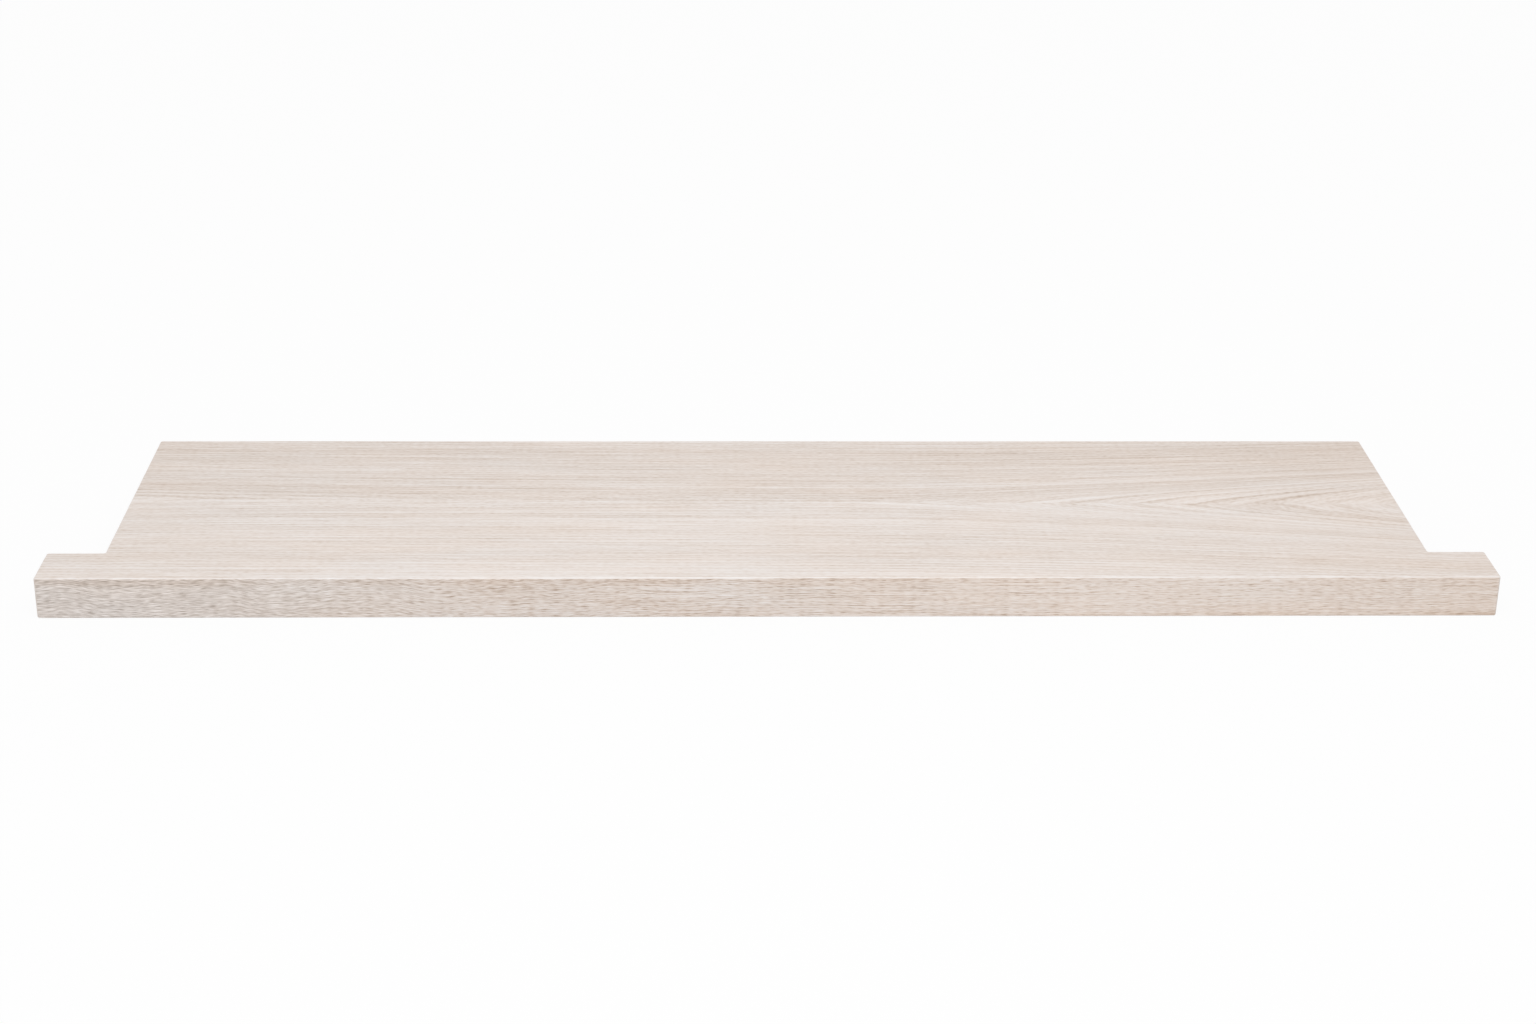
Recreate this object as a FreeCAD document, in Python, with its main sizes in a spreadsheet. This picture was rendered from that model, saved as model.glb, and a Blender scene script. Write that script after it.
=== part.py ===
"""Window sill board: one oak board whose front edge runs on past the body as a horn at each end.

The board lies flat, as it does under a window. X runs along it, +Y points to the window and +Z is
up. The origin is on the underside, at the middle of the overall length and depth.
"""

import FreeCAD, Part
import os

import Sketcher

PARTS_FOLDER = "parts"
BOARD = "sill_board"
SHEET = "Sizes"

# Driving dimensions in millimetres, with what each one measures
SIZES = {
    "board_length": (1000.0, "overall length, over both horns"),
    "board_depth": (250.0, "front edge to back edge"),
    "board_thickness": (30.0, "underside to top"),
    "horn_length": (40.0, "how far a horn runs past the body, along the wall"),
    "horn_depth": (42.0, "front edge to the back of a horn"),
    "top_arris": (1.5, "radius of the eased edges round the top"),
    "bottom_arris": (1.0, "radius of the eased edges round the underside"),
    "corner_ease": (0.5, "radius left at the top's corners, inside the eased edges"),
    "notch_radius": (1.5, "radius in the corner between a horn and the body"),
}

# Points of the plan outline, anticlockwise from the front left corner
FRONT_LEFT, FRONT_RIGHT, RIGHT_TIP, RIGHT_NOTCH, BACK_RIGHT, BACK_LEFT, LEFT_NOTCH, LEFT_TIP = range(8)
POINT_COUNT = 8
START, END = 1, 2
ORIGIN_POINT = (-1, START)
Y_AXIS = -2
SAME_PLACE = 1e-6


def make_sheet(doc):
    """The spreadsheet of driving dimensions, each in a cell with its alias."""
    sheet = doc.addObject("Spreadsheet::Sheet", SHEET)
    for row, (alias, (value, meaning)) in enumerate(SIZES.items(), start=1):
        sheet.set(f"A{row}", alias)
        sheet.set(f"B{row}", str(value))
        sheet.setAlias(f"B{row}", alias)
        sheet.set(f"C{row}", meaning)
    doc.recompute()
    return sheet


def origin_plane(body, role):
    """One of the body's own origin planes."""
    return next(plane for plane in body.Origin.OriginFeatures if plane.Role == role)


def plan_points(sheet):
    """Corners of the plan outline, in the order of the names above."""
    half_length = sheet.board_length / 2
    half_body = half_length - sheet.horn_length
    back = sheet.board_depth / 2
    front = -back
    horn_back = front + sheet.horn_depth
    right_half = [(half_length, front), (half_length, horn_back), (half_body, horn_back), (half_body, back)]
    left_half = [(-x, y) for x, y in reversed(right_half)]
    corners = [left_half[-1], *right_half, *left_half[:-1]]
    return [FreeCAD.Vector(x, y, 0) for x, y in corners]


def corner(point):
    """A corner of the plan outline, as the sketch's constraints name it."""
    return point, START


def draw_plan(body, sheet):
    """The plan outline: line number n runs from point n to the next, and sizes follow the sheet."""
    sketch = body.newObject("Sketcher::SketchObject", "plan_outline")
    sketch.AttachmentSupport = (origin_plane(body, "XY_Plane"), [""])
    sketch.MapMode = "FlatFace"

    points = plan_points(sheet)
    for here, there in zip(points, points[1:] + points[:1]):
        sketch.addGeometry(Part.LineSegment(here, there), False)
    for line in range(POINT_COUNT):
        following = (line + 1) % POINT_COUNT
        sketch.addConstraint(Sketcher.Constraint("Coincident", line, END, following, START))
    for line in (FRONT_RIGHT, RIGHT_NOTCH, BACK_LEFT, LEFT_TIP):
        sketch.addConstraint(Sketcher.Constraint("Vertical", line))
    for line in (RIGHT_TIP, LEFT_NOTCH):
        sketch.addConstraint(Sketcher.Constraint("Horizontal", line))
    for left, right in ((FRONT_LEFT, FRONT_RIGHT), (BACK_LEFT, BACK_RIGHT)):
        sketch.addConstraint(Sketcher.Constraint("Symmetric", *corner(left), *corner(right), Y_AXIS))
    sketch.addConstraint(Sketcher.Constraint("Equal", FRONT_RIGHT, LEFT_TIP))

    measures = (
        ("length", "DistanceX", corner(FRONT_LEFT), corner(FRONT_RIGHT), "board_length"),
        ("depth", "DistanceY", corner(FRONT_RIGHT), corner(BACK_RIGHT), "board_depth"),
        ("horn_length", "DistanceX", corner(RIGHT_NOTCH), corner(RIGHT_TIP), "horn_length"),
        ("horn_depth", "DistanceY", corner(FRONT_RIGHT), corner(RIGHT_TIP), "horn_depth"),
        ("front_to_middle", "DistanceY", corner(FRONT_LEFT), ORIGIN_POINT, "board_depth / 2"),
    )
    for name, direction, start, end, formula in measures:
        span = sketch.getPoint(*end) - sketch.getPoint(*start)
        size = span.x if direction == "DistanceX" else span.y
        index = sketch.addConstraint(Sketcher.Constraint(direction, *start, *end, size))
        sketch.renameConstraint(index, name)
        sketch.setExpression(f"Constraints.{name}", f"{SHEET}.{formula}")
    return sketch


def edges_where(feature, wanted):
    """Names of the feature's edges for which wanted(edge) is true."""
    return [f"Edge{n}" for n, edge in enumerate(feature.Shape.Edges, start=1) if wanted(edge)]


def is_upright(edge):
    """True for an edge that runs straight up and down."""
    box = edge.BoundBox
    return box.XLength < SAME_PLACE and box.YLength < SAME_PLACE


def lies_at(edge, height):
    """True for an edge that lies level at that height."""
    box = edge.BoundBox
    return abs(box.ZMin - height) < SAME_PLACE and abs(box.ZMax - height) < SAME_PLACE


def round_edges(body, base, name, wanted, formula):
    """Rounds the edges of base for which wanted(edge) is true, by a radius from the sheet."""
    fillet = body.newObject("PartDesign::Fillet", name)
    fillet.Base = (base, edges_where(base, wanted))
    fillet.setExpression("Radius", formula)
    body.Document.recompute()
    return fillet


def build_board(doc, sheet):
    """The board as one body: plan outline, thickness, plan corners, then the eased edges."""
    body = doc.addObject("PartDesign::Body", BOARD)
    body.Label = BOARD
    blank = body.newObject("PartDesign::Pad", "blank")
    blank.Profile = draw_plan(body, sheet)
    blank.setExpression("Length", f"{SHEET}.board_thickness")
    doc.recompute()

    notch_x = sheet.board_length / 2 - sheet.horn_length
    notch_y = sheet.horn_depth - sheet.board_depth / 2

    def is_notch(edge):
        """True for an upright edge in the corner between a horn and the body."""
        middle = edge.CenterOfMass
        in_line = abs(abs(middle.x) - notch_x) < SAME_PLACE
        return is_upright(edge) and in_line and abs(middle.y - notch_y) < SAME_PLACE

    notched = round_edges(body, blank, "notch_corners", is_notch, f"{SHEET}.notch_radius")
    sharp_corners = [FreeCAD.Vector(p.x, p.y, sheet.board_thickness / 2) for p in plan_points(sheet)]

    def is_outer_corner(edge):
        """True for an upright edge that still stands on a corner of the plan outline."""
        near = any((edge.CenterOfMass - place).Length < SAME_PLACE for place in sharp_corners)
        return is_upright(edge) and near

    corner_radius = f"max({SHEET}.top_arris; {SHEET}.bottom_arris) + {SHEET}.corner_ease"
    cornered = round_edges(body, notched, "outer_corners", is_outer_corner, corner_radius)
    top_eased = round_edges(
        body, cornered, "top_edges", lambda edge: lies_at(edge, sheet.board_thickness), f"{SHEET}.top_arris"
    )
    round_edges(body, top_eased, "bottom_edges", lambda edge: lies_at(edge, 0), f"{SHEET}.bottom_arris")
    return body


def check(doc, pieces):
    """Stops if an object failed to build or a piece isn't one valid solid."""
    failed = [o.Label for o in doc.Objects if "Invalid" in o.State or "Error" in o.State]
    if failed:
        raise RuntimeError(f"these objects failed: {failed}")
    for piece in pieces:
        shape = piece.Shape
        if shape.isNull() or not shape.isValid() or len(shape.Solids) != 1:
            raise RuntimeError(f"{piece.Label} isn't one valid solid")


def main():
    doc = FreeCAD.newDocument("window_sill_board")
    sheet = make_sheet(doc)
    pieces = [build_board(doc, sheet)]
    doc.recompute()
    check(doc, pieces)
    os.makedirs(PARTS_FOLDER, exist_ok=True)
    for piece in pieces:
        piece.Shape.exportStep(os.path.join(PARTS_FOLDER, f"{piece.Label}.step"))
        box = piece.Shape.optimalBoundingBox(False)
        print(f"{piece.Label}: {box.XLength:.2f} x {box.YLength:.2f} x {box.ZLength:.2f} mm")


main()
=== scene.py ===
"""Looks of the window sill board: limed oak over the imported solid, on a plain pale floor.

Lengths are in metres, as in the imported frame. The grain's own sizes are in millimetres, because its
nodes work on the object's coordinates times a thousand. A tone is a place on the wood's scale of
colours, from 0 for the palest wax to 1 for the darkest pore.
"""

import itertools
import math
from typing import NamedTuple

import bmesh
import bpy
from mathutils import Matrix, Vector


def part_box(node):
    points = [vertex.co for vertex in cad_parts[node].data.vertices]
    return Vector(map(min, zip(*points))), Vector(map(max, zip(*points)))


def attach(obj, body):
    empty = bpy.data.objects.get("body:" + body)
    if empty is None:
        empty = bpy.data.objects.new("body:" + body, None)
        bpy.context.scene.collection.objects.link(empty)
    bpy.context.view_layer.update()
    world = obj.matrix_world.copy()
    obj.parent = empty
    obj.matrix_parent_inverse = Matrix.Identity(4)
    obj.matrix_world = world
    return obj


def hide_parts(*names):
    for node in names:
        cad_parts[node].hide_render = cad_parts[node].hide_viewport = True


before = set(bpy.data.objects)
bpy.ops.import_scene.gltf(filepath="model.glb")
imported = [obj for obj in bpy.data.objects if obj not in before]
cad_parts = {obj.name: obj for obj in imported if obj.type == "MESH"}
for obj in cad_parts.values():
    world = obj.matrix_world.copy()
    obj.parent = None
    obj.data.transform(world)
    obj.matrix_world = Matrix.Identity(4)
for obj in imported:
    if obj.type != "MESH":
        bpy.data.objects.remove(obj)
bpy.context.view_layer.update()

BOARD = "sill_board"
FINISH = "limed_oak"
PIECE = "oak_board"
MM_PER_METRE = 1000.0
TINY = 1e-6

# The middle of what a Noise node gives, and the share of a stroke's reach that has its full depth
NOISE_MIDDLE = 0.5
STROKE_CORE = 1 / 3


class Grain(NamedTuple):
    """Noise about 0: its sizes along two or three axes, what its full swing adds, and how fine it is."""

    sizes: tuple
    strength: float = 1.0
    detail: float = 0.0
    roughness: float = 0.5


class StrokeKind(NamedTuple):
    """Short strokes: the cell that holds each one, their reach in cells, and what the deepest adds."""

    cell: tuple
    reach: float
    strength: float


class Gain(NamedTuple):
    """How strong a part of the edge grain is, and what a wavy or a calm stretch of it changes."""

    plain: float
    wavy: float
    calm: float


# The board's sizes that its box doesn't give, as in the part's source
HORN_LENGTH = 0.040
HORN_DEPTH = 0.042
TOP_ARRIS = 0.0015
BOTTOM_ARRIS = 0.0010
OUTER_CORNER = 0.0020
NOTCH_CORNER = 0.0015

# The board's mesh: the longest side of its quads, the steps and the profile of each eased edge, the
# angle past which an edge is a corner, and how much wide faces outweigh narrow ones in the shading
GRID_STEP = 0.02
ROUND_STEPS = 6
ROUND_PROFILE = 0.5
SHARP_ANGLE = math.radians(45)
FLATNESS_WEIGHT = 100

# The bake's layout on a square map: the gap between sides, and the share of the map's height that
# each side takes. The two ends lie side by side
BAKE_LAYER = "OFBake"
MAP_GAP = 0.004
MAP_SHARES = {"top": 0.46, "bottom": 0.245, "front": 0.11, "back": 0.08, "ends": 0.08}

# The camera that fits the photograph's corners, with the focal length in pixels of its frame
PHOTO_WIDTH = 1536
FOCAL_PIXELS = 2641.6
SENSOR_WIDTH = 36.0
CAMERA_PLACE = (-0.0538, -1.7569, 0.7838)
CAMERA_PITCH = math.radians(23.365)
CAMERA_YAW = math.radians(1.756)
CAMERA_ROLL = math.radians(0.658)

# Studio: a pale sky, one broad lamp above and in front of the board, and a floor that shows as white
# but for a share that takes the shadow
SKY_ZENITH = 0.87
SKY_HORIZON = 0.65
LAMP_POWER = 5.9
LAMP_SIZE = 1.0
LAMP_PLACE = (0.0, -0.8, 1.3)
LAMP_TARGET = (0.0, -0.05, 0.0)
FLOOR_SIZE = 40.0
FLOOR_COLOUR = (0.85, 0.85, 0.85)
FLOOR_WHITE_SHARE = 0.93

# The trunk's heart under the board, in millimetres: its line in plan, its depth under the top at the
# waist, its least depth, and how much the square of the depth falls with the square of the way from
# the waist
TOP_Z = 30.0
HEART_X = 38.0
HEART_Y = 6.0
HEART_SKEW = -0.0125
HEART_DEPTH = 68.0
HEART_LEAST_DEPTH = 1.0
HEART_RISE_RIGHT = 0.0237
HEART_RISE_LEFT = 0.0023

# The rings: the crease along the heart line, how ranks near 0 are rounded off, where the rings behind
# the heart line give way to those in front, the width of a year's ring, and how far the rings wander
HEART_CREASE = 12.0
HEART_BLUR = 2000.0
HEART_SEAM = (-1.0, 1.0)
RING_WIDTH = 4.6
RING_WANDER = Grain((220.0, 40.0, 40.0), strength=3.4, detail=1.0)

# How far along the noise the back half of the board takes its fibres from, so that they differ
ELSEWHERE = 3000.0

# The rings that show most, from the heart outwards, behind the heart line and in front of it, each as
# (rank of its outer edge in millimetres, shade along its inner edge, shade along its outer edge)
RING_EDGE = 0.4
RANK_RANGE = (-60.0, 130.0)
BACK_RINGS = (
    (-49.0, 0.2, 0.6),
    (-42.0, 0.2, 0.65),
    (-33.0, 0.1, 0.75),
    (-27.0, 0.15, 0.8),
    (-20.0, 0.0, 0.7),
    (-12.0, 0.05, 0.8),
    (-3.0, 0.15, 0.7),
    (10.0, 0.43, 0.95),
    (22.0, 0.65, 1.0),
    (41.0, 0.3, 0.8),
    (50.0, 0.55, 0.78),
    (84.0, 0.56, 0.78),
    (99.0, 0.62, 1.0),
    (116.0, 0.8, 0.55),
)
FRONT_RINGS = (
    (-31.0, 0.2, 0.65),
    (-25.0, 0.0, 0.85),
    (-17.0, 0.0, 0.65),
    (-8.0, 0.0, 0.65),
    (0.0, 0.0, 0.5),
    (13.0, 0.3, 0.45),
    (23.0, 0.3, 0.45),
    (28.5, 0.45, 0.8),
    (54.0, 0.0, 0.47),
    (66.0, 0.35, 0.5),
    (84.0, 0.3, 0.5),
    (101.0, 0.45, 0.6),
    (126.0, 0.48, 0.15),
)

# What the main rings add between their palest and their darkest, and the shade that adds nothing
MAIN_GAIN = 0.26
MID_SHADE = 0.5

# The flames, where rings close: the ranks between which they set in, and what they add to the main
# rings' power, shade and gain
FLAME_RANKS = (15.0, -15.0)
FLAME_POWER = 0.8
FLAME_SHADE = 0.16
FLAME_GAIN = 0.26

# Each year's line on the faces: the share of its ring in which it darkens, how it then pales, the ranks
# between which such lines set in, what they add, and how unevenly they are spaced
EARLY_SHARE = 0.12
YEAR_FALL = 0.9
YEAR_SWING = 1.2
YEAR_RANKS = (-50.0, 0.0)
YEAR_GAIN = 0.14
YEAR_UNEVENNESS = Grain((700.0, 13.0), strength=1.2)

# How the lines of the faces fade in and out along the rings
FACE_FADING = Grain((130.0, 5.0))
FADING_LEVEL = 0.95

# Fibres and pores of the faces, with sizes along the board and across the rings, and their wax
FACE_THREADS = Grain((500.0, 2.4), detail=1.0, roughness=0.7)
THREAD_GAIN = 0.38
THREAD_LOSS_IN_FLAMES = 0.16
FACE_STRANDS = (
    Grain((140.0, 1.8), strength=0.36, detail=1.0, roughness=0.8),
    Grain((26.0, 1.3), strength=0.4, detail=1.0, roughness=0.75),
    Grain((4.0, 1.1), strength=0.26),
)
FACE_PORES = StrokeKind((7.0, 1.6), reach=0.4, strength=0.12)
FACE_WAX = Grain((160.0, 34.0, 34.0), strength=0.08)

# The faces' own tone at the middle of the board, and the painted shade that it gains with the square of
# the way from it
FACE_BASE = 0.425
END_PAINTED_SHADE = 2.6e-7

# The long edges: where along the board their grain turns wavy to the left and calm to the right, how
# wavy it is at least, and the sways that lift and lower it, in millimetres
WAVY_STRETCH = (50.0, -250.0)
LEAST_WAVY = 0.3
CALM_STRETCH = (0.0, 350.0)
EDGE_SWAYS = (
    Grain((55.0, 55.0, 90.0), strength=9.0),
    Grain((16.0, 16.0, 25.0), strength=1.7),
    Grain((8.0, 8.0, 6.0), strength=0.8),
)

# Lines, fibres, pores and glints of the long edges, with sizes along the board and up it, and their
# wax
EDGE_CONTRAST = Gain(plain=1.2, wavy=0.0, calm=-0.18)
EDGE_LINE_WIDTH = 1.5
EDGE_LINE_DRIFT = Grain((80.0, 5.0), strength=3.0)
EDGE_LINE_THINNING = Grain((22.0, 2.0))
EDGE_LINE_LEVEL = 0.5
EDGE_LINE_GAIN = Gain(plain=0.26, wavy=-0.16, calm=0.0)
EDGE_FIBRE = Grain((130.0, 0.6), detail=1.0, roughness=0.8)
EDGE_FIBRE_GAIN = Gain(plain=1.32, wavy=-0.72, calm=-0.38)
EDGE_HAIRS = Grain((9.0, 0.42), detail=1.0, roughness=0.7)
EDGE_HAIR_GAIN = Gain(plain=0.9, wavy=0.42, calm=0.15)
EDGE_PORES = StrokeKind((7.0, 0.7), reach=0.4, strength=0.36)
EDGE_GLINTS = StrokeKind((12.0, 0.8), reach=0.4, strength=0.2)
GLINT_SHIFT = (37.0, 0.6)
EDGE_WAX = Grain((60.0, 60.0, 14.0))
EDGE_WAX_TONE = 0.1

# The long edges' own tone at the middle of the board, what painted light takes off it with each
# millimetre to the right, and the darker and paler stretches, each as (its middle, half its length, the
# tone it adds)
EDGE_BASE = 0.354
EDGE_PAINTED_LIGHT = 0.00006
EDGE_STRETCHES = (
    (-165.0, 120.0, 0.07),
    (235.0, 190.0, -0.045),
    (500.0, 120.0, 0.075),
)

# The stain along the long edges' upper arrises and painted shade along the lower: the heights where each
# sets in and is full, where it passes from upper to lower, how strong it is, and the tone and warmth it
# adds
TOP_RIM = (22.0, 26.5)
BOTTOM_RIM_SHADE = (4.5, 1.5)
RIM_CHANGE = (-100.0, 300.0)
TOP_RIM_LEFT = 1.15
TOP_RIM_LOSS = 0.85
RIM_LEVEL = 0.6
RIM_SHADE = 0.14
RIM_WARMTH = 0.035

# The long edges' left end, which is greyer: where it begins and is full, the tone that it levels to
# and by what share, and how its light falls with tone and all over
GREY_END = (-100.0, -480.0)
GREY_TONE = 0.4
GREY_LEVELLING = 0.5
GREY_SHADE = 0.48
GREY_DARKENING = 0.075

# The sawn ends, with sizes out from the heart in millimetres and round it in radians
SAWN_BASE = 0.5
SAWN_UNEVENNESS = Grain((9.0, 3.0), strength=1.6)
SAWN_LINE_FALL = 0.75
SAWN_LINE_GAIN = 0.3
SAWN_FADING = Grain((14.0, 0.3))
SAWN_LINE_LEVEL = 0.6
SAWN_RAYS = Grain((22.0, 0.012))
RAY_STEP = (0.08, 0.25)
RAY_GAIN = 0.16

# Open pores and mottle of the sawn ends, with sizes along the board, across it and up it
SAWN_DOTS = Grain((9.0, 0.7, 0.7))
DOT_STEP = (0.1, 0.25)
DOT_GAIN = 0.22
SAWN_MOTTLE = Grain((30.0, 6.0, 6.0), strength=0.2, detail=1.0)

# Which side a point is on, by how far its normal leans: along X on an end, along Y on a long edge, and
# upwards on an upper arris, but less than on the top
END_LEAN = (0.5, 0.85)
EDGE_LEAN = (0.75, 0.98)
ARRIS_LEAN = (0.15, 0.4)
TOP_LEAN = (0.98, 0.75)

# The upper arrises, worn paler
WEAR = Grain((12.0, 12.0, 12.0), strength=0.5)
WEAR_LEVEL = 0.3

# The wood's tones, as (place on the scale, sRGB colour)
TONES = (
    (0.0, (241, 236, 233)),
    (0.35, (231, 221, 214)),
    (0.65, (213, 198, 186)),
    (1.0, (174, 149, 130)),
)

# What a little more warmth does to red, green and blue, how patchy it is, and what the faces and the
# long edges gain with each millimetre to the right
WARMTH = (0.33, -0.37, -1.0)
WARM_MOTTLE = Grain((90.0, 22.0, 22.0), strength=0.08, detail=1.0)
FACE_WARMING = 0.00002
EDGE_WARMTH = 0.03
EDGE_WARMING = 0.00006

# The lacquer's roughness, which grows with tone, and how deep the darkest pores lie
ROUGHNESS = 0.42
ROUGHNESS_GAIN = 0.2
PORE_DEPTH = 0.00008


class Value:
    """A number in a shader tree. Arithmetic on it adds Math nodes."""

    def __init__(self, tree, socket):
        self.tree = tree
        self.socket = socket

    def math(self, operation, *others):
        """The result of one Math node."""
        node = self.tree.nodes.new("ShaderNodeMath")
        node.operation = operation
        for slot, operand in zip(node.inputs, (self, *others)):
            feed(self.tree, slot, operand)
        return Value(self.tree, node.outputs["Value"])

    def __add__(self, other):
        return self.math("ADD", other)

    def __sub__(self, other):
        return self.math("SUBTRACT", other)

    def __mul__(self, other):
        return self.math("MULTIPLY", other)

    def __truediv__(self, other):
        return self.math("DIVIDE", other)

    def __pow__(self, other):
        return self.math("POWER", other)

    def __rsub__(self, other):
        return (self * -1.0) + other

    __radd__ = __add__
    __rmul__ = __mul__

    def step(self, low, high):
        """0 below low and 1 above high, with a smooth rise between. Falls where low is the greater."""
        node = self.tree.nodes.new("ShaderNodeMapRange")
        node.interpolation_type = "SMOOTHSTEP"
        feed(self.tree, node.inputs["Value"], self)
        feed(self.tree, node.inputs["From Min"], low)
        feed(self.tree, node.inputs["From Max"], high)
        return Value(self.tree, node.outputs["Result"])


def feed(tree, socket, operand):
    """Links a value or a socket to an input, or sets the input to a plain number or vector."""
    if isinstance(operand, Value):
        tree.links.new(operand.socket, socket)
    elif isinstance(operand, bpy.types.NodeSocket):
        tree.links.new(operand, socket)
    else:
        socket.default_value = operand


def joined(tree, x, y, z):
    """A vector from three numbers."""
    node = tree.nodes.new("ShaderNodeCombineXYZ")
    for slot, part in zip(node.inputs, (x, y, z)):
        feed(tree, slot, part)
    return node.outputs["Vector"]


def split(tree, vector):
    """The three numbers of a vector."""
    node = tree.nodes.new("ShaderNodeSeparateXYZ")
    feed(tree, node.inputs["Vector"], vector)
    return [Value(tree, node.outputs[axis]) for axis in "XYZ"]


def vector_math(tree, operation, *operands):
    """A vector made from others by one Vector Math node."""
    node = tree.nodes.new("ShaderNodeVectorMath")
    node.operation = operation
    for slot, operand in zip(node.inputs, operands):
        feed(tree, slot, operand)
    return node.outputs["Vector"]


def noise(tree, place, grain):
    """Noise about 0 that swings by this grain's strength."""
    node = tree.nodes.new("ShaderNodeTexNoise")
    node.noise_dimensions = f"{len(grain.sizes)}D"
    spans = (*grain.sizes, 1.0)[:3]
    feed(tree, node.inputs["Vector"], vector_math(tree, "DIVIDE", place, spans))
    node.inputs["Scale"].default_value = 1.0
    node.inputs["Detail"].default_value = grain.detail
    node.inputs["Roughness"].default_value = grain.roughness
    return (Value(tree, node.outputs["Fac"]) - NOISE_MIDDLE) * grain.strength


def strokes(tree, along, across, kind):
    """Short strokes of this kind, some deep and some faint, from 0 to their strength."""
    node = tree.nodes.new("ShaderNodeTexVoronoi")
    node.voronoi_dimensions = "2D"
    node.inputs["Scale"].default_value = 1.0
    length, width = kind.cell
    feed(tree, node.inputs["Vector"], joined(tree, along / length, across / width, 0.0))
    depth = split(tree, node.outputs["Color"])[0]
    shape = Value(tree, node.outputs["Distance"]).step(kind.reach, kind.reach * STROKE_CORE)
    return shape * depth * kind.strength


def grid_lines(stops, step):
    """Places from each stop to the next, evenly spaced and no further apart than step."""
    lines = [stops[0]]
    for low, high in itertools.pairwise(stops):
        count = math.ceil((high - low) / step - TINY)
        lines += [low + (high - low) * i / count for i in range(1, count + 1)]
    return lines


def add_slab(bm, low, high):
    """A sharp-edged slab with the board's plan: a body, and a nosing that runs on past it."""
    body_left = low.x + HORN_LENGTH
    body_right = high.x - HORN_LENGTH
    nosing_back = low.y + HORN_DEPTH
    columns = grid_lines((low.x, body_left, body_right, high.x), GRID_STEP)
    rows = grid_lines((low.y, nosing_back, high.y), GRID_STEP)
    cells = itertools.product(itertools.pairwise(columns), itertools.pairwise(rows))
    corners = {}
    for (left, right), (front, back) in cells:
        in_body = left > body_left - TINY and right < body_right + TINY
        in_nosing = back < nosing_back + TINY
        if in_body or in_nosing:
            ring = ((left, front), (right, front), (right, back), (left, back))
            for place in ring:
                if place not in corners:
                    corners[place] = bm.verts.new((*place, low.z))
            bm.faces.new([corners[place] for place in ring])
    grown = bmesh.ops.extrude_face_region(bm, geom=bm.faces[:])["geom"]
    lifted = [part for part in grown if isinstance(part, bmesh.types.BMVert)]
    bmesh.ops.translate(bm, verts=lifted, vec=(0, 0, high.z - low.z))
    bmesh.ops.recalc_face_normals(bm, faces=bm.faces[:])


def is_corner(edge):
    """True for an edge where two sides of the board meet at an angle."""
    return edge.calc_face_angle(0.0) > SHARP_ANGLE


def is_upright(edge):
    """True for a corner edge that runs up and down."""
    one, other = edge.verts
    return is_corner(edge) and abs(one.co.z - other.co.z) > TINY


def lies_at(edge, height):
    """True for a corner edge that lies level at that height."""
    return is_corner(edge) and all(abs(end.co.z - height) < TINY for end in edge.verts)


def round_over(bm, edges, radius):
    """Rounds these edges."""
    bmesh.ops.bevel(
        bm,
        geom=edges,
        offset=radius,
        offset_type="OFFSET",
        segments=ROUND_STEPS,
        profile=ROUND_PROFILE,
        affect="EDGES",
    )


def map_bands():
    """The rectangle of the bake's map that each side takes, as (left, right, bottom, top)."""
    left = MAP_GAP
    right = 1 - MAP_GAP
    middle = 0.5
    bands = {}
    floor = MAP_GAP
    for side, share in MAP_SHARES.items():
        bands[side] = (left, right, floor, floor + share - MAP_GAP)
        floor += share
    _, _, bottom, top = bands.pop("ends")
    bands["left"] = (left, middle - MAP_GAP / 2, bottom, top)
    bands["right"] = (middle + MAP_GAP / 2, right, bottom, top)
    return bands


def side_of(normal):
    """The side of the board that a face with this normal belongs to."""
    steepest = max(abs(part) for part in normal)
    if steepest == abs(normal.z):
        return "top" if normal.z > 0 else "bottom"
    if steepest == abs(normal.y):
        return "front" if normal.y < 0 else "back"
    return "right" if normal.x > 0 else "left"


def place_on_side(side, point, low, high):
    """Where a point lies on a side, as shares of its length and height, seen from outside the board."""
    along = (point.x - low.x) / (high.x - low.x)
    across = (point.y - low.y) / (high.y - low.y)
    up = (point.z - low.z) / (high.z - low.z)
    places = {
        "top": (along, across),
        "bottom": (1 - along, across),
        "front": (along, up),
        "back": (1 - along, up),
        "right": (across, up),
        "left": (1 - across, up),
    }
    return places[side]


def map_sides(bm, low, high):
    """Lays each side of the board on its own band of the bake's map, with the grain along the band."""
    layer = bm.loops.layers.uv.new(BAKE_LAYER)
    bands = map_bands()
    for face in bm.faces:
        side = side_of(face.normal)
        left, right, bottom, top = bands[side]
        for loop in face.loops:
            u, v = place_on_side(side, loop.vert.co, low, high)
            loop[layer].uv = (left + u * (right - left), bottom + v * (top - bottom))


def keep_flats_flat(board):
    """Shades the wide flat sides as flat, and only the eased edges as round."""
    modifier = board.modifiers.new("even_sides", "WEIGHTED_NORMAL")
    modifier.weight = FLATNESS_WEIGHT
    bpy.context.view_layer.objects.active = board
    bpy.ops.object.modifier_apply(modifier=modifier.name)


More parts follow.
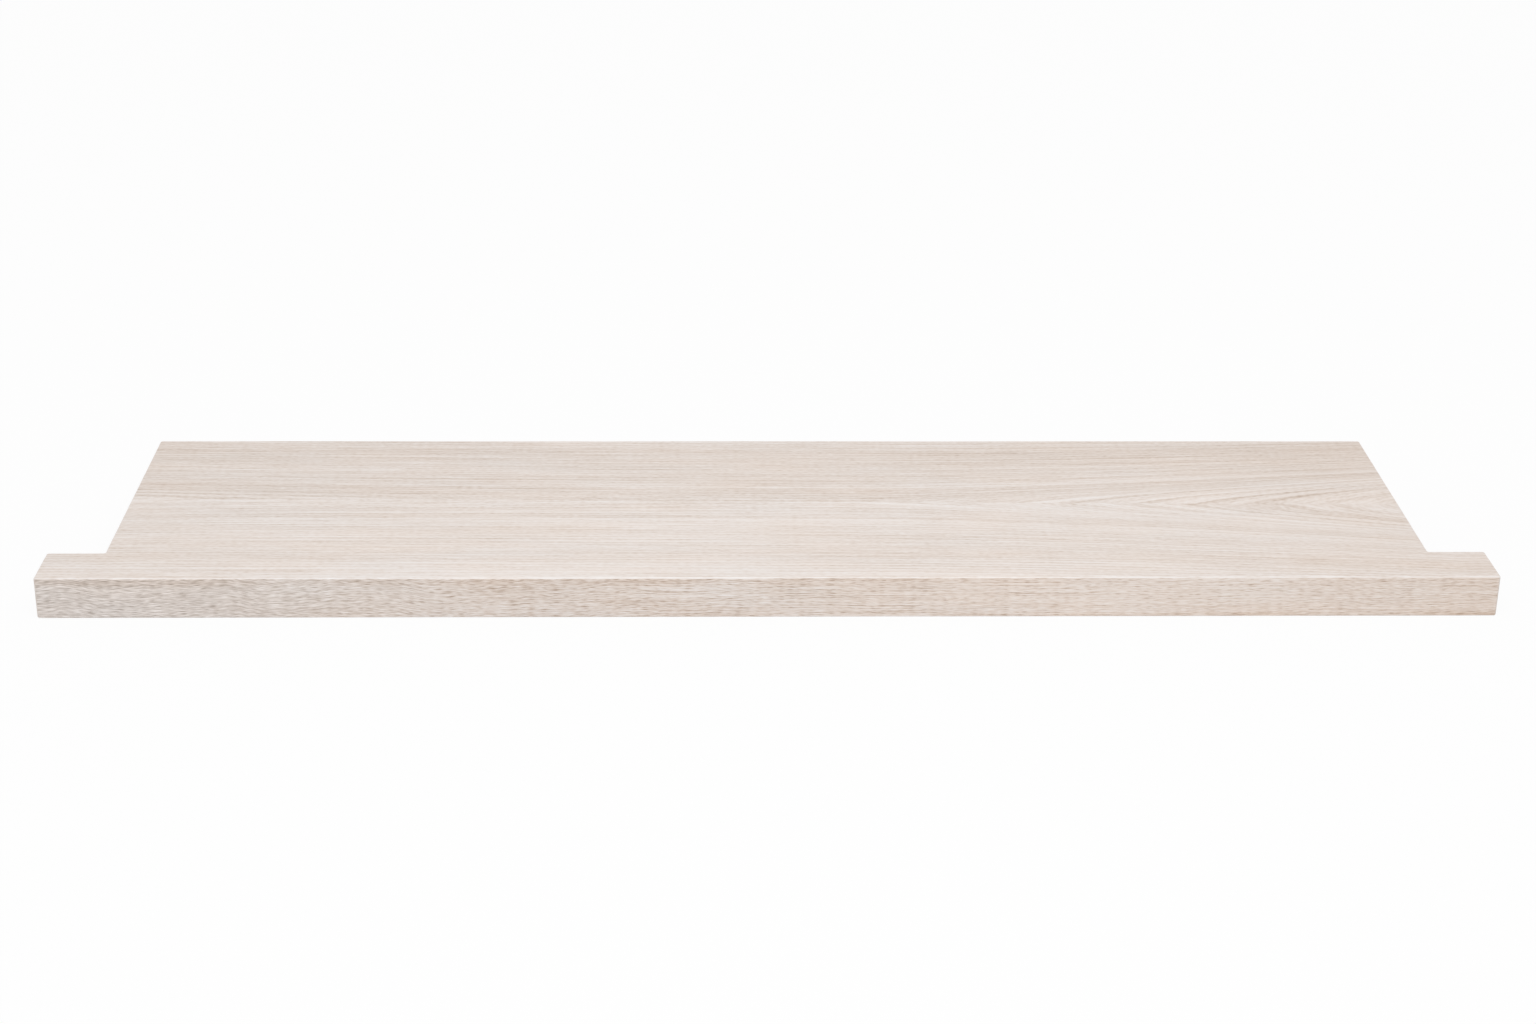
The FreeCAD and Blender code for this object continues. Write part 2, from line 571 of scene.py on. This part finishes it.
def build_board(material):
    """The board as one closed mesh with eased edges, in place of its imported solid."""
    low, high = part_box(BOARD)
    bm = bmesh.new()
    add_slab(bm, low, high)
    uprights = [edge for edge in bm.edges if is_upright(edge)]
    outer = [edge for edge in uprights if edge.is_convex]
    notch = [edge for edge in uprights if not edge.is_convex]
    round_over(bm, outer, OUTER_CORNER)
    round_over(bm, notch, NOTCH_CORNER)
    round_over(bm, [edge for edge in bm.edges if lies_at(edge, high.z)], TOP_ARRIS)
    round_over(bm, [edge for edge in bm.edges if lies_at(edge, low.z)], BOTTOM_ARRIS)
    map_sides(bm, low, high)
    mesh = bpy.data.meshes.new(PIECE)
    bm.to_mesh(mesh)
    bm.free()
    mesh.shade_smooth()
    mesh.materials.append(material)
    board = bpy.data.objects.new(PIECE, mesh)
    bpy.context.scene.collection.objects.link(board)
    keep_flats_flat(board)
    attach(board, "root")
    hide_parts(BOARD)


def heart_offset(x, y):
    """How far behind the heart line a point lies. Negative in front of it."""
    return y - HEART_Y - x * HEART_SKEW


def heart_height(x, z):
    """How far above the heart a point lies. The heart is deepest at the waist and rises both ways."""
    along = x - HEART_X
    right = along.math("MAXIMUM", 0.0)
    left = along.math("MINIMUM", 0.0)
    rise = right * right * HEART_RISE_RIGHT + left * left * HEART_RISE_LEFT
    depth = (HEART_DEPTH**2 - rise).math("MAXIMUM", HEART_LEAST_DEPTH**2).math("SQRT")
    return z - TOP_Z + depth


def ring_rank(x, y, z):
    """The ring that a point is in, by how far from the heart line it runs at the board's waist.

    Rings that close before they reach the waist have a negative rank.
    """
    across = heart_offset(x, y).math("ABSOLUTE") + HEART_CREASE
    up = heart_height(x, z)
    square = across * across + up * up - HEART_DEPTH**2
    return square / (square.math("ABSOLUTE") + HEART_BLUR).math("SQRT")


def ring_shades(tree, rank, rings):
    """Shade of the main rings, from 0 for the palest to 1 for the darkest."""
    node = tree.nodes.new("ShaderNodeValToRGB")
    stops = node.color_ramp.elements
    stops.remove(stops[1])
    low, high = RANK_RANGE
    inner = low
    for outer, pale, dark in rings:
        for place, shade in ((inner + RING_EDGE, pale), (outer - RING_EDGE, dark)):
            stop = stops.new((place - low) / (high - low))
            stop.color = (shade, shade, shade, 1)
        inner = outer
    stops[0].color = stops[1].color
    feed(tree, node.inputs["Fac"], (rank - low) / (high - low))
    return Value(tree, node.outputs["Color"])


def year_phase(rank, unevenness):
    """How far out in its year's ring a point lies, from 0 to 1."""
    return (rank / RING_WIDTH + unevenness).math("FRACT")


def face_tone(tree, place, x, y, rank):
    """Tone of the flat-sawn faces: rings, the fibres and pores along them, and painted shade at the
    ends.
    """
    back = ring_shades(tree, rank, BACK_RINGS)
    front = ring_shades(tree, rank, FRONT_RINGS)
    shade = front + (back - front) * heart_offset(x, y).step(*HEART_SEAM)
    flames = rank.step(*FLAME_RANKS)
    main = shade ** (flames * FLAME_POWER + 1.0) + flames * FLAME_SHADE - MID_SHADE

    other_half = heart_offset(x, y).math("GREATER_THAN", 0.0) * ELSEWHERE
    along_ring = joined(tree, x + other_half, rank, 0.0)
    phase = year_phase(rank, noise(tree, along_ring, YEAR_UNEVENNESS))
    year = phase.step(0.0, EARLY_SHARE) * (YEAR_FALL - phase) * YEAR_SWING - MID_SHADE
    lines = main * (flames * FLAME_GAIN + MAIN_GAIN) + year * rank.step(*YEAR_RANKS) * YEAR_GAIN
    fading = noise(tree, along_ring, FACE_FADING) + FADING_LEVEL

    threads = noise(tree, along_ring, FACE_THREADS)
    threads = threads * (THREAD_GAIN - flames * THREAD_LOSS_IN_FLAMES)
    strands = sum(noise(tree, along_ring, grain) for grain in FACE_STRANDS)
    pores = strokes(tree, x, rank, FACE_PORES)
    wax = noise(tree, place, FACE_WAX)
    # The square of x adds painted shade, darker towards the ends of the board
    return lines * fading + threads + strands + pores + wax + x * x * END_PAINTED_SHADE + FACE_BASE


def along_edge(gain, wavy, calm):
    """What a gain comes to at each place along a long edge."""
    return wavy * gain.wavy + calm * gain.calm + gain.plain


def slow_tone(x):
    """Tone of the long edges under their grain: painted light makes it fall to the right, but for a few
    stretches.
    """
    # Painted light: the long edges grow paler with each millimetre to the right
    tone = EDGE_BASE - x * EDGE_PAINTED_LIGHT
    for middle, reach, change in EDGE_STRETCHES:
        tone = tone + (x - middle).math("ABSOLUTE").step(reach, 0.0) * change
    return tone


def edge_tone(tree, place, x, y, z):
    """Tone of the long edges: lines, fibres, pores and glints that sway along the board."""
    wavy = x.step(*WAVY_STRETCH) * (1.0 - LEAST_WAVY) + LEAST_WAVY
    calm = x.step(*CALM_STRETCH)
    sway = sum(noise(tree, place, grain) for grain in EDGE_SWAYS)
    level = z + sway * wavy
    other_side = y.math("GREATER_THAN", 0.0) * ELSEWHERE
    swayed = joined(tree, x + other_side, level, 0.0)

    drift = noise(tree, swayed, EDGE_LINE_DRIFT)
    lines = ((level / EDGE_LINE_WIDTH + drift) * math.tau).math("SINE")
    thinning = noise(tree, swayed, EDGE_LINE_THINNING) + EDGE_LINE_LEVEL
    fibre = noise(tree, swayed, EDGE_FIBRE)
    hairs = noise(tree, swayed, EDGE_HAIRS)
    pores = strokes(tree, x, level, EDGE_PORES)
    glint_along, glint_up = GLINT_SHIFT
    glints = strokes(tree, x + glint_along, level + glint_up, EDGE_GLINTS)

    strands = lines * thinning * along_edge(EDGE_LINE_GAIN, wavy, calm) + pores - glints
    strands = strands + fibre * along_edge(EDGE_FIBRE_GAIN, wavy, calm)
    strands = strands + hairs * along_edge(EDGE_HAIR_GAIN, wavy, calm)
    return strands * along_edge(EDGE_CONTRAST, wavy, calm) + slow_tone(x)


def rim_stain_and_shade(wax, x, z):
    """Stain on a long edge's upper arris, mostly at the left; painted shade on the lower, mostly at the
    right.
    """
    rightwards = x.step(*RIM_CHANGE)
    upper = z.step(*TOP_RIM) * (TOP_RIM_LEFT - rightwards * TOP_RIM_LOSS)
    # Painted shade along the lower arris, where the board meets the floor
    lower = z.step(*BOTTOM_RIM_SHADE) * rightwards
    return (upper + lower) * (wax + RIM_LEVEL)


def end_tone(tree, place, x, y, z, rank):
    """Tone of the sawn ends: uneven ring arcs, open pores as dots, and pale rays out of the heart."""
    bearing = (heart_offset(x, y) / heart_height(x, z)).math("ARCTANGENT")
    from_heart = joined(tree, rank, bearing, 0.0)
    phase = year_phase(rank, noise(tree, from_heart, SAWN_UNEVENNESS))
    line = phase.step(0.0, EARLY_SHARE) * phase.step(SAWN_LINE_FALL, EARLY_SHARE)
    fading = noise(tree, from_heart, SAWN_FADING) + SAWN_LINE_LEVEL
    rays = noise(tree, from_heart, SAWN_RAYS).step(*RAY_STEP)
    dots = noise(tree, place, SAWN_DOTS).step(*DOT_STEP)
    mottle = noise(tree, place, SAWN_MOTTLE)
    return line * fading * SAWN_LINE_GAIN + dots * DOT_GAIN - rays * RAY_GAIN + mottle + SAWN_BASE


def to_linear(level):
    """An sRGB level from 0 to 255 as linear light."""
    share = level / 255
    return share / 12.92 if share <= 0.04045 else ((share + 0.055) / 1.055) ** 2.4


def colour_ramp(tree, tone):
    """The wood's colour for each tone."""
    node = tree.nodes.new("ShaderNodeValToRGB")
    stops = node.color_ramp.elements
    for place, _ in TONES[1:-1]:
        stops.new(place)
    for stop, (_, colour) in zip(stops, TONES):
        stop.color = (*(to_linear(part) for part in colour), 1)
    feed(tree, node.inputs["Fac"], tone)
    return node.outputs["Color"]


def tinted(tree, colour, warmth, light):
    """The colour under this share of the light, with this much warmth added."""
    change = vector_math(tree, "MULTIPLY", joined(tree, warmth, warmth, warmth), WARMTH)
    share = vector_math(tree, "ADD", change, joined(tree, light, light, light))
    return vector_math(tree, "MULTIPLY", colour, share)


def oak_surface(tree):
    """The wood's colour and its tone, with painted light and shade worked in. All sides are cut from one
    trunk, so that they agree.
    """
    coordinates = tree.nodes.new("ShaderNodeTexCoord")
    place = vector_math(tree, "MULTIPLY", coordinates.outputs["Object"], (MM_PER_METRE,) * 3)
    x, y, z = split(tree, place)
    nx, ny, nz = split(tree, coordinates.outputs["Normal"])
    end = nx.math("ABSOLUTE").step(*END_LEAN)
    edge = ny.math("ABSOLUTE").step(*EDGE_LEAN)
    arris = nz.step(*ARRIS_LEAN) * nz.step(*TOP_LEAN)

    rank = ring_rank(x, y, z) + noise(tree, place, RING_WANDER)
    wax = noise(tree, place, EDGE_WAX)
    stain_and_shade = rim_stain_and_shade(wax, x, z)
    face = face_tone(tree, place, x, y, rank)
    side = edge_tone(tree, place, x, y, z) + wax * EDGE_WAX_TONE + stain_and_shade * RIM_SHADE
    sawn = end_tone(tree, place, x, y, z, rank)
    tone = face + (side - face) * edge
    tone = tone + (sawn - tone) * end
    tone = tone - arris * (noise(tree, place, WEAR) + WEAR_LEVEL)

    grey = edge * x.step(*GREY_END)
    off_grey = (tone - GREY_TONE) * grey
    hue = tone - off_grey * GREY_LEVELLING
    light = 1.0 - off_grey * GREY_SHADE - grey * GREY_DARKENING
    edge_warmth = x * EDGE_WARMING + stain_and_shade * RIM_WARMTH + EDGE_WARMTH
    warmth = noise(tree, place, WARM_MOTTLE) + x * FACE_WARMING + edge * edge_warmth
    return tinted(tree, colour_ramp(tree, hue), warmth, light), tone


def limed_oak():
    """Oak rubbed with white wax, under matt lacquer."""
    material = bpy.data.materials.new(FINISH)
    material.use_nodes = True
    tree = material.node_tree
    shader = tree.nodes["Principled BSDF"]
    colour, tone = oak_surface(tree)
    feed(tree, shader.inputs["Base Color"], colour)
    feed(tree, shader.inputs["Roughness"], tone * ROUGHNESS_GAIN + ROUGHNESS)
    bump = tree.nodes.new("ShaderNodeBump")
    bump.inputs["Distance"].default_value = PORE_DEPTH
    bump.inputs["Strength"].default_value = 1.0
    feed(tree, bump.inputs["Height"], 1.0 - tone)
    feed(tree, shader.inputs["Normal"], bump.outputs["Normal"])
    return material


def build_camera():
    """The camera at the photograph's place."""
    data = bpy.data.cameras.new("camera")
    data.sensor_width = SENSOR_WIDTH
    data.lens = SENSOR_WIDTH * FOCAL_PIXELS / PHOTO_WIDTH
    camera = bpy.data.objects.new("camera", data)
    bpy.context.scene.collection.objects.link(camera)
    turn = Matrix.Rotation(-CAMERA_YAW, 4, "Z")
    tilt = Matrix.Rotation(math.pi / 2 - CAMERA_PITCH, 4, "X")
    roll = Matrix.Rotation(CAMERA_ROLL, 4, "Z")
    camera.matrix_world = Matrix.Translation(CAMERA_PLACE) @ turn @ tilt @ roll
    bpy.context.scene.camera = camera


def seen_directly(tree):
    """1 for what the camera sees, also in gloss or through glass, and 0 for other light."""
    path = tree.nodes.new("ShaderNodeLightPath")
    camera = Value(tree, path.outputs["Is Camera Ray"])
    glossy = Value(tree, path.outputs["Is Glossy Ray"])
    clear = Value(tree, path.outputs["Is Transmission Ray"])
    return camera.math("MAXIMUM", glossy).math("MAXIMUM", clear)


def floor_material():
    """White to the camera, but for a share that takes the board's shadow."""
    material = bpy.data.materials.new("floor")
    material.use_nodes = True
    tree = material.node_tree
    tree.nodes.remove(tree.nodes["Principled BSDF"])
    matt = tree.nodes.new("ShaderNodeBsdfDiffuse")
    matt.inputs["Color"].default_value = (*FLOOR_COLOUR, 1)
    white = tree.nodes.new("ShaderNodeEmission")
    mix = tree.nodes.new("ShaderNodeMixShader")
    feed(tree, mix.inputs["Fac"], seen_directly(tree) * FLOOR_WHITE_SHARE)
    feed(tree, mix.inputs[1], matt.outputs["BSDF"])
    feed(tree, mix.inputs[2], white.outputs["Emission"])
    feed(tree, tree.nodes["Material Output"].inputs["Surface"], mix.outputs["Shader"])
    return material


def build_floor():
    """The floor that the board lies on."""
    mesh = bpy.data.meshes.new("floor")
    half = FLOOR_SIZE / 2
    corners = [(-half, -half, 0), (half, -half, 0), (half, half, 0), (-half, half, 0)]
    mesh.from_pydata(corners, [], [(0, 1, 2, 3)])
    mesh.materials.append(floor_material())
    floor = bpy.data.objects.new("floor", mesh)
    bpy.context.scene.collection.objects.link(floor)


def build_sky():
    """A sky that is white to the camera and, as a light, a little darker towards the horizon."""
    world = bpy.data.worlds.new("sky")
    world.use_nodes = True
    tree = world.node_tree
    background = tree.nodes["Background"]
    background.inputs["Color"].default_value = (1, 1, 1, 1)
    direction = tree.nodes.new("ShaderNodeTexCoord").outputs["Generated"]
    height = split(tree, direction)[2].math("MAXIMUM", 0.0)
    light = height * (SKY_ZENITH - SKY_HORIZON) + SKY_HORIZON
    feed(tree, background.inputs["Strength"], light + (1.0 - light) * seen_directly(tree))
    bpy.context.scene.world = world


def build_lamp():
    """The broad lamp, aimed at the board."""
    data = bpy.data.lights.new("lamp", "AREA")
    data.shape = "SQUARE"
    data.size = LAMP_SIZE
    data.energy = LAMP_POWER
    lamp = bpy.data.objects.new("lamp", data)
    bpy.context.scene.collection.objects.link(lamp)
    lamp.location = LAMP_PLACE
    away = Vector(LAMP_PLACE) - Vector(LAMP_TARGET)
    lamp.rotation_euler = away.to_track_quat("Z", "Y").to_euler()


build_camera()
build_floor()
build_sky()
build_lamp()
build_board(limed_oak())
bpy.context.scene.view_settings.view_transform = "Standard"
